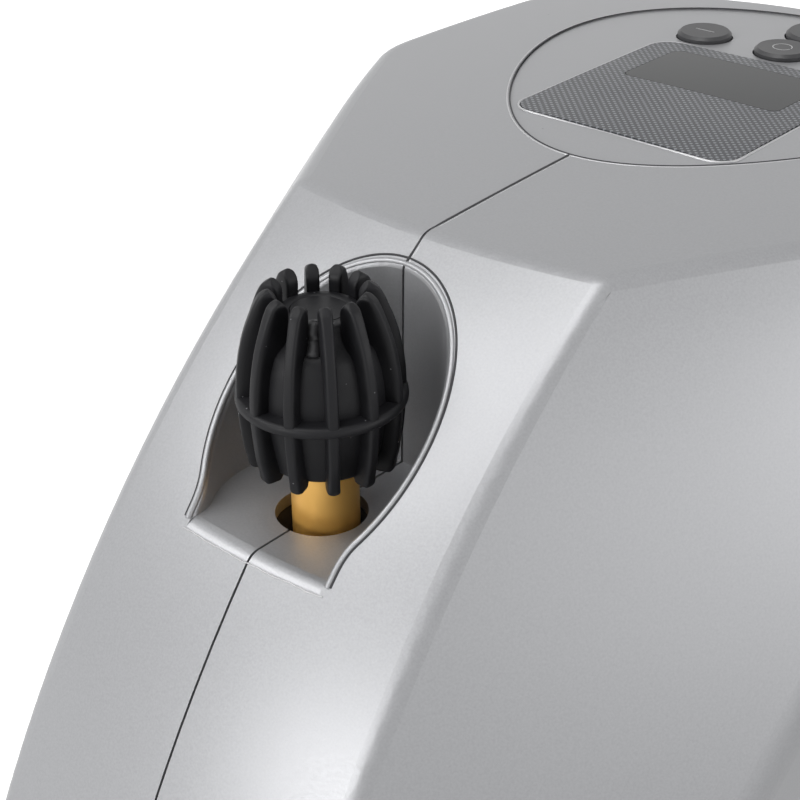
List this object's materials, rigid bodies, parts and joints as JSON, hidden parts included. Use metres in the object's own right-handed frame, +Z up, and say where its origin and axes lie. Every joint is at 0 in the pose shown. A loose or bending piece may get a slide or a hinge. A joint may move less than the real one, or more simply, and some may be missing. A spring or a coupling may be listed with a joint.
{
  "type": "portable tire inflator",
  "caption": "Compact portable tire inflator: faceted two-shell housing with a nose niche that holds a screw-on valve connector, oval display panel, motor and piston pump inside.",
  "frame": {"origin": "on the floor under the middle of the housing's overall box, level with the underside of the feet", "axes": "-Y is the nose with the valve connector, +Y the back end plate, +Z up; +X is to the right for someone who faces along +Y, from the nose to the back"},
  "size_m": [0.146, 0.2358, 0.1239],
  "materials": {
    "silver_paint": "satin silver paint on plastic",
    "dark_overlay": "dark satin with pale dots",
    "display_glass": "clear gloss over a grey display",
    "display_module": "satin",
    "circuit_board": "green solder mask",
    "key_plastic": "satin black",
    "black_plastic": "fine texture",
    "rocker_plastic": "gloss red",
    "switch_plastic": "satin",
    "clear_lens": "clear",
    "black_rubber": "dull black",
    "brass": "turned",
    "steel": "plain steel",
    "cast_aluminium": "die cast",
    "gear_plastic": "natural white",
    "bearing_bronze": "sintered bronze",
    "ring_plastic": "filled fluoroplastic"
  },
  "bodies": {
    "housing": {"left_shell": "silver_paint", "right_shell": "silver_paint", "display_panel": "silver_paint", "display_overlay": "dark_overlay", "lcd_window": "display_glass", "lcd_module": "display_module", "control_board": "circuit_board", "board_screws": "steel", "key_switches": "switch_plastic", "rear_plate": "black_plastic", "rocker_frame": "black_plastic", "power_inlet": "black_plastic", "inlet_pin": "brass", "lamp_lens": "clear_lens", "lamp_board": "circuit_board", "foot_front_left": "black_rubber", "foot_front_right": "black_rubber", "foot_rear_left": "black_rubber", "foot_rear_right": "black_rubber", "case_screws": "steel", "chuck_dock": "black_plastic", "motor_can": "steel", "motor_end_cap": "black_plastic", "motor_screws": "steel", "gear_frame": "cast_aluminium", "front_bearing": "steel", "rear_bearing": "steel", "cylinder": "cast_aluminium", "cylinder_gasket": "ring_plastic", "reed_valve": "steel", "cylinder_head": "cast_aluminium", "head_screws": "steel", "air_outlet": "brass"},
    "hose_tail": {"swivel_tail": "brass"},
    "connector": {"chuck_grip": "black_rubber", "chuck_barrel": "brass", "chuck_seal": "black_rubber", "valve_pin": "brass"},
    "plug": {"mouth_plug": "black_rubber"},
    "power_key": {"power_button": "key_plastic"},
    "mode_key": {"mode_button": "key_plastic"},
    "minus_key": {"minus_button": "key_plastic"},
    "plus_key": {"plus_button": "key_plastic"},
    "rocker": {"rocker_switch": "rocker_plastic"},
    "crank": {"crank_shaft": "steel", "crank_gear": "gear_plastic", "crank_pin": "steel"},
    "rotor": {"motor_rotor": "steel", "cooling_fan": "black_plastic", "pinion": "steel"},
    "pump_piston": {"piston": "cast_aluminium", "piston_ring": "ring_plastic", "wrist_pin": "steel"},
    "pump_rod": {"connecting_rod": "cast_aluminium", "rod_bearing": "bearing_bronze"}
  },
  "joints": [
    {"name": "chuck_lift", "type": "slide", "parent": "housing", "child": "hose_tail", "axis": [0, 0, 1], "range_m": [0, 0.076]},
    {"name": "chuck_spin", "type": "hinge", "parent": "hose_tail", "child": "connector", "pos_m": [0, -0.0588, 0.068], "axis": [0, 0, 1], "continuous": true},
    {"name": "plug_lift", "type": "slide", "parent": "connector", "child": "plug", "axis": [0, 0, 1], "range_m": [0, 0.015]},
    {"name": "power_press", "type": "slide", "parent": "housing", "child": "power_key", "axis": [0, 0, -1], "range_m": [0, 0.0008], "stiffness_N_per_m": 900, "springref_m": -0.0008},
    {"name": "mode_press", "type": "slide", "parent": "housing", "child": "mode_key", "axis": [0, 0, -1], "range_m": [0, 0.0008], "stiffness_N_per_m": 900, "springref_m": -0.0008},
    {"name": "minus_press", "type": "slide", "parent": "housing", "child": "minus_key", "axis": [0, 0, -1], "range_m": [0, 0.0008], "stiffness_N_per_m": 900, "springref_m": -0.0008},
    {"name": "plus_press", "type": "slide", "parent": "housing", "child": "plus_key", "axis": [0, 0, -1], "range_m": [0, 0.0008], "stiffness_N_per_m": 900, "springref_m": -0.0008},
    {"name": "rocker_tilt", "type": "hinge", "parent": "housing", "child": "rocker", "pos_m": [-0.02, 0.1072, 0.065], "axis": [1, 0, 0], "range_deg": [-16, 0]},
    {"name": "crank_spin", "type": "hinge", "parent": "housing", "child": "crank", "pos_m": [0, 0.0072, 0.054], "axis": [0, 1, 0], "continuous": true},
    {"name": "motor_spin", "type": "hinge", "parent": "housing", "child": "rotor", "pos_m": [0, 0.0072, 0.03], "axis": [0, 1, 0], "continuous": true},
    {"name": "piston_stroke", "type": "slide", "parent": "housing", "child": "pump_piston", "axis": [0, 0, 1], "range_m": [0, 0.014]},
    {"name": "rod_swing", "type": "hinge", "parent": "pump_piston", "child": "pump_rod", "pos_m": [0, 0.0072, 0.08], "axis": [0, 1, 0], "range_deg": [-12, 12]}
  ],
  "couplings": [
    {"joint": "motor_spin", "follows": "crank_spin", "ratio": -4}
  ]
}
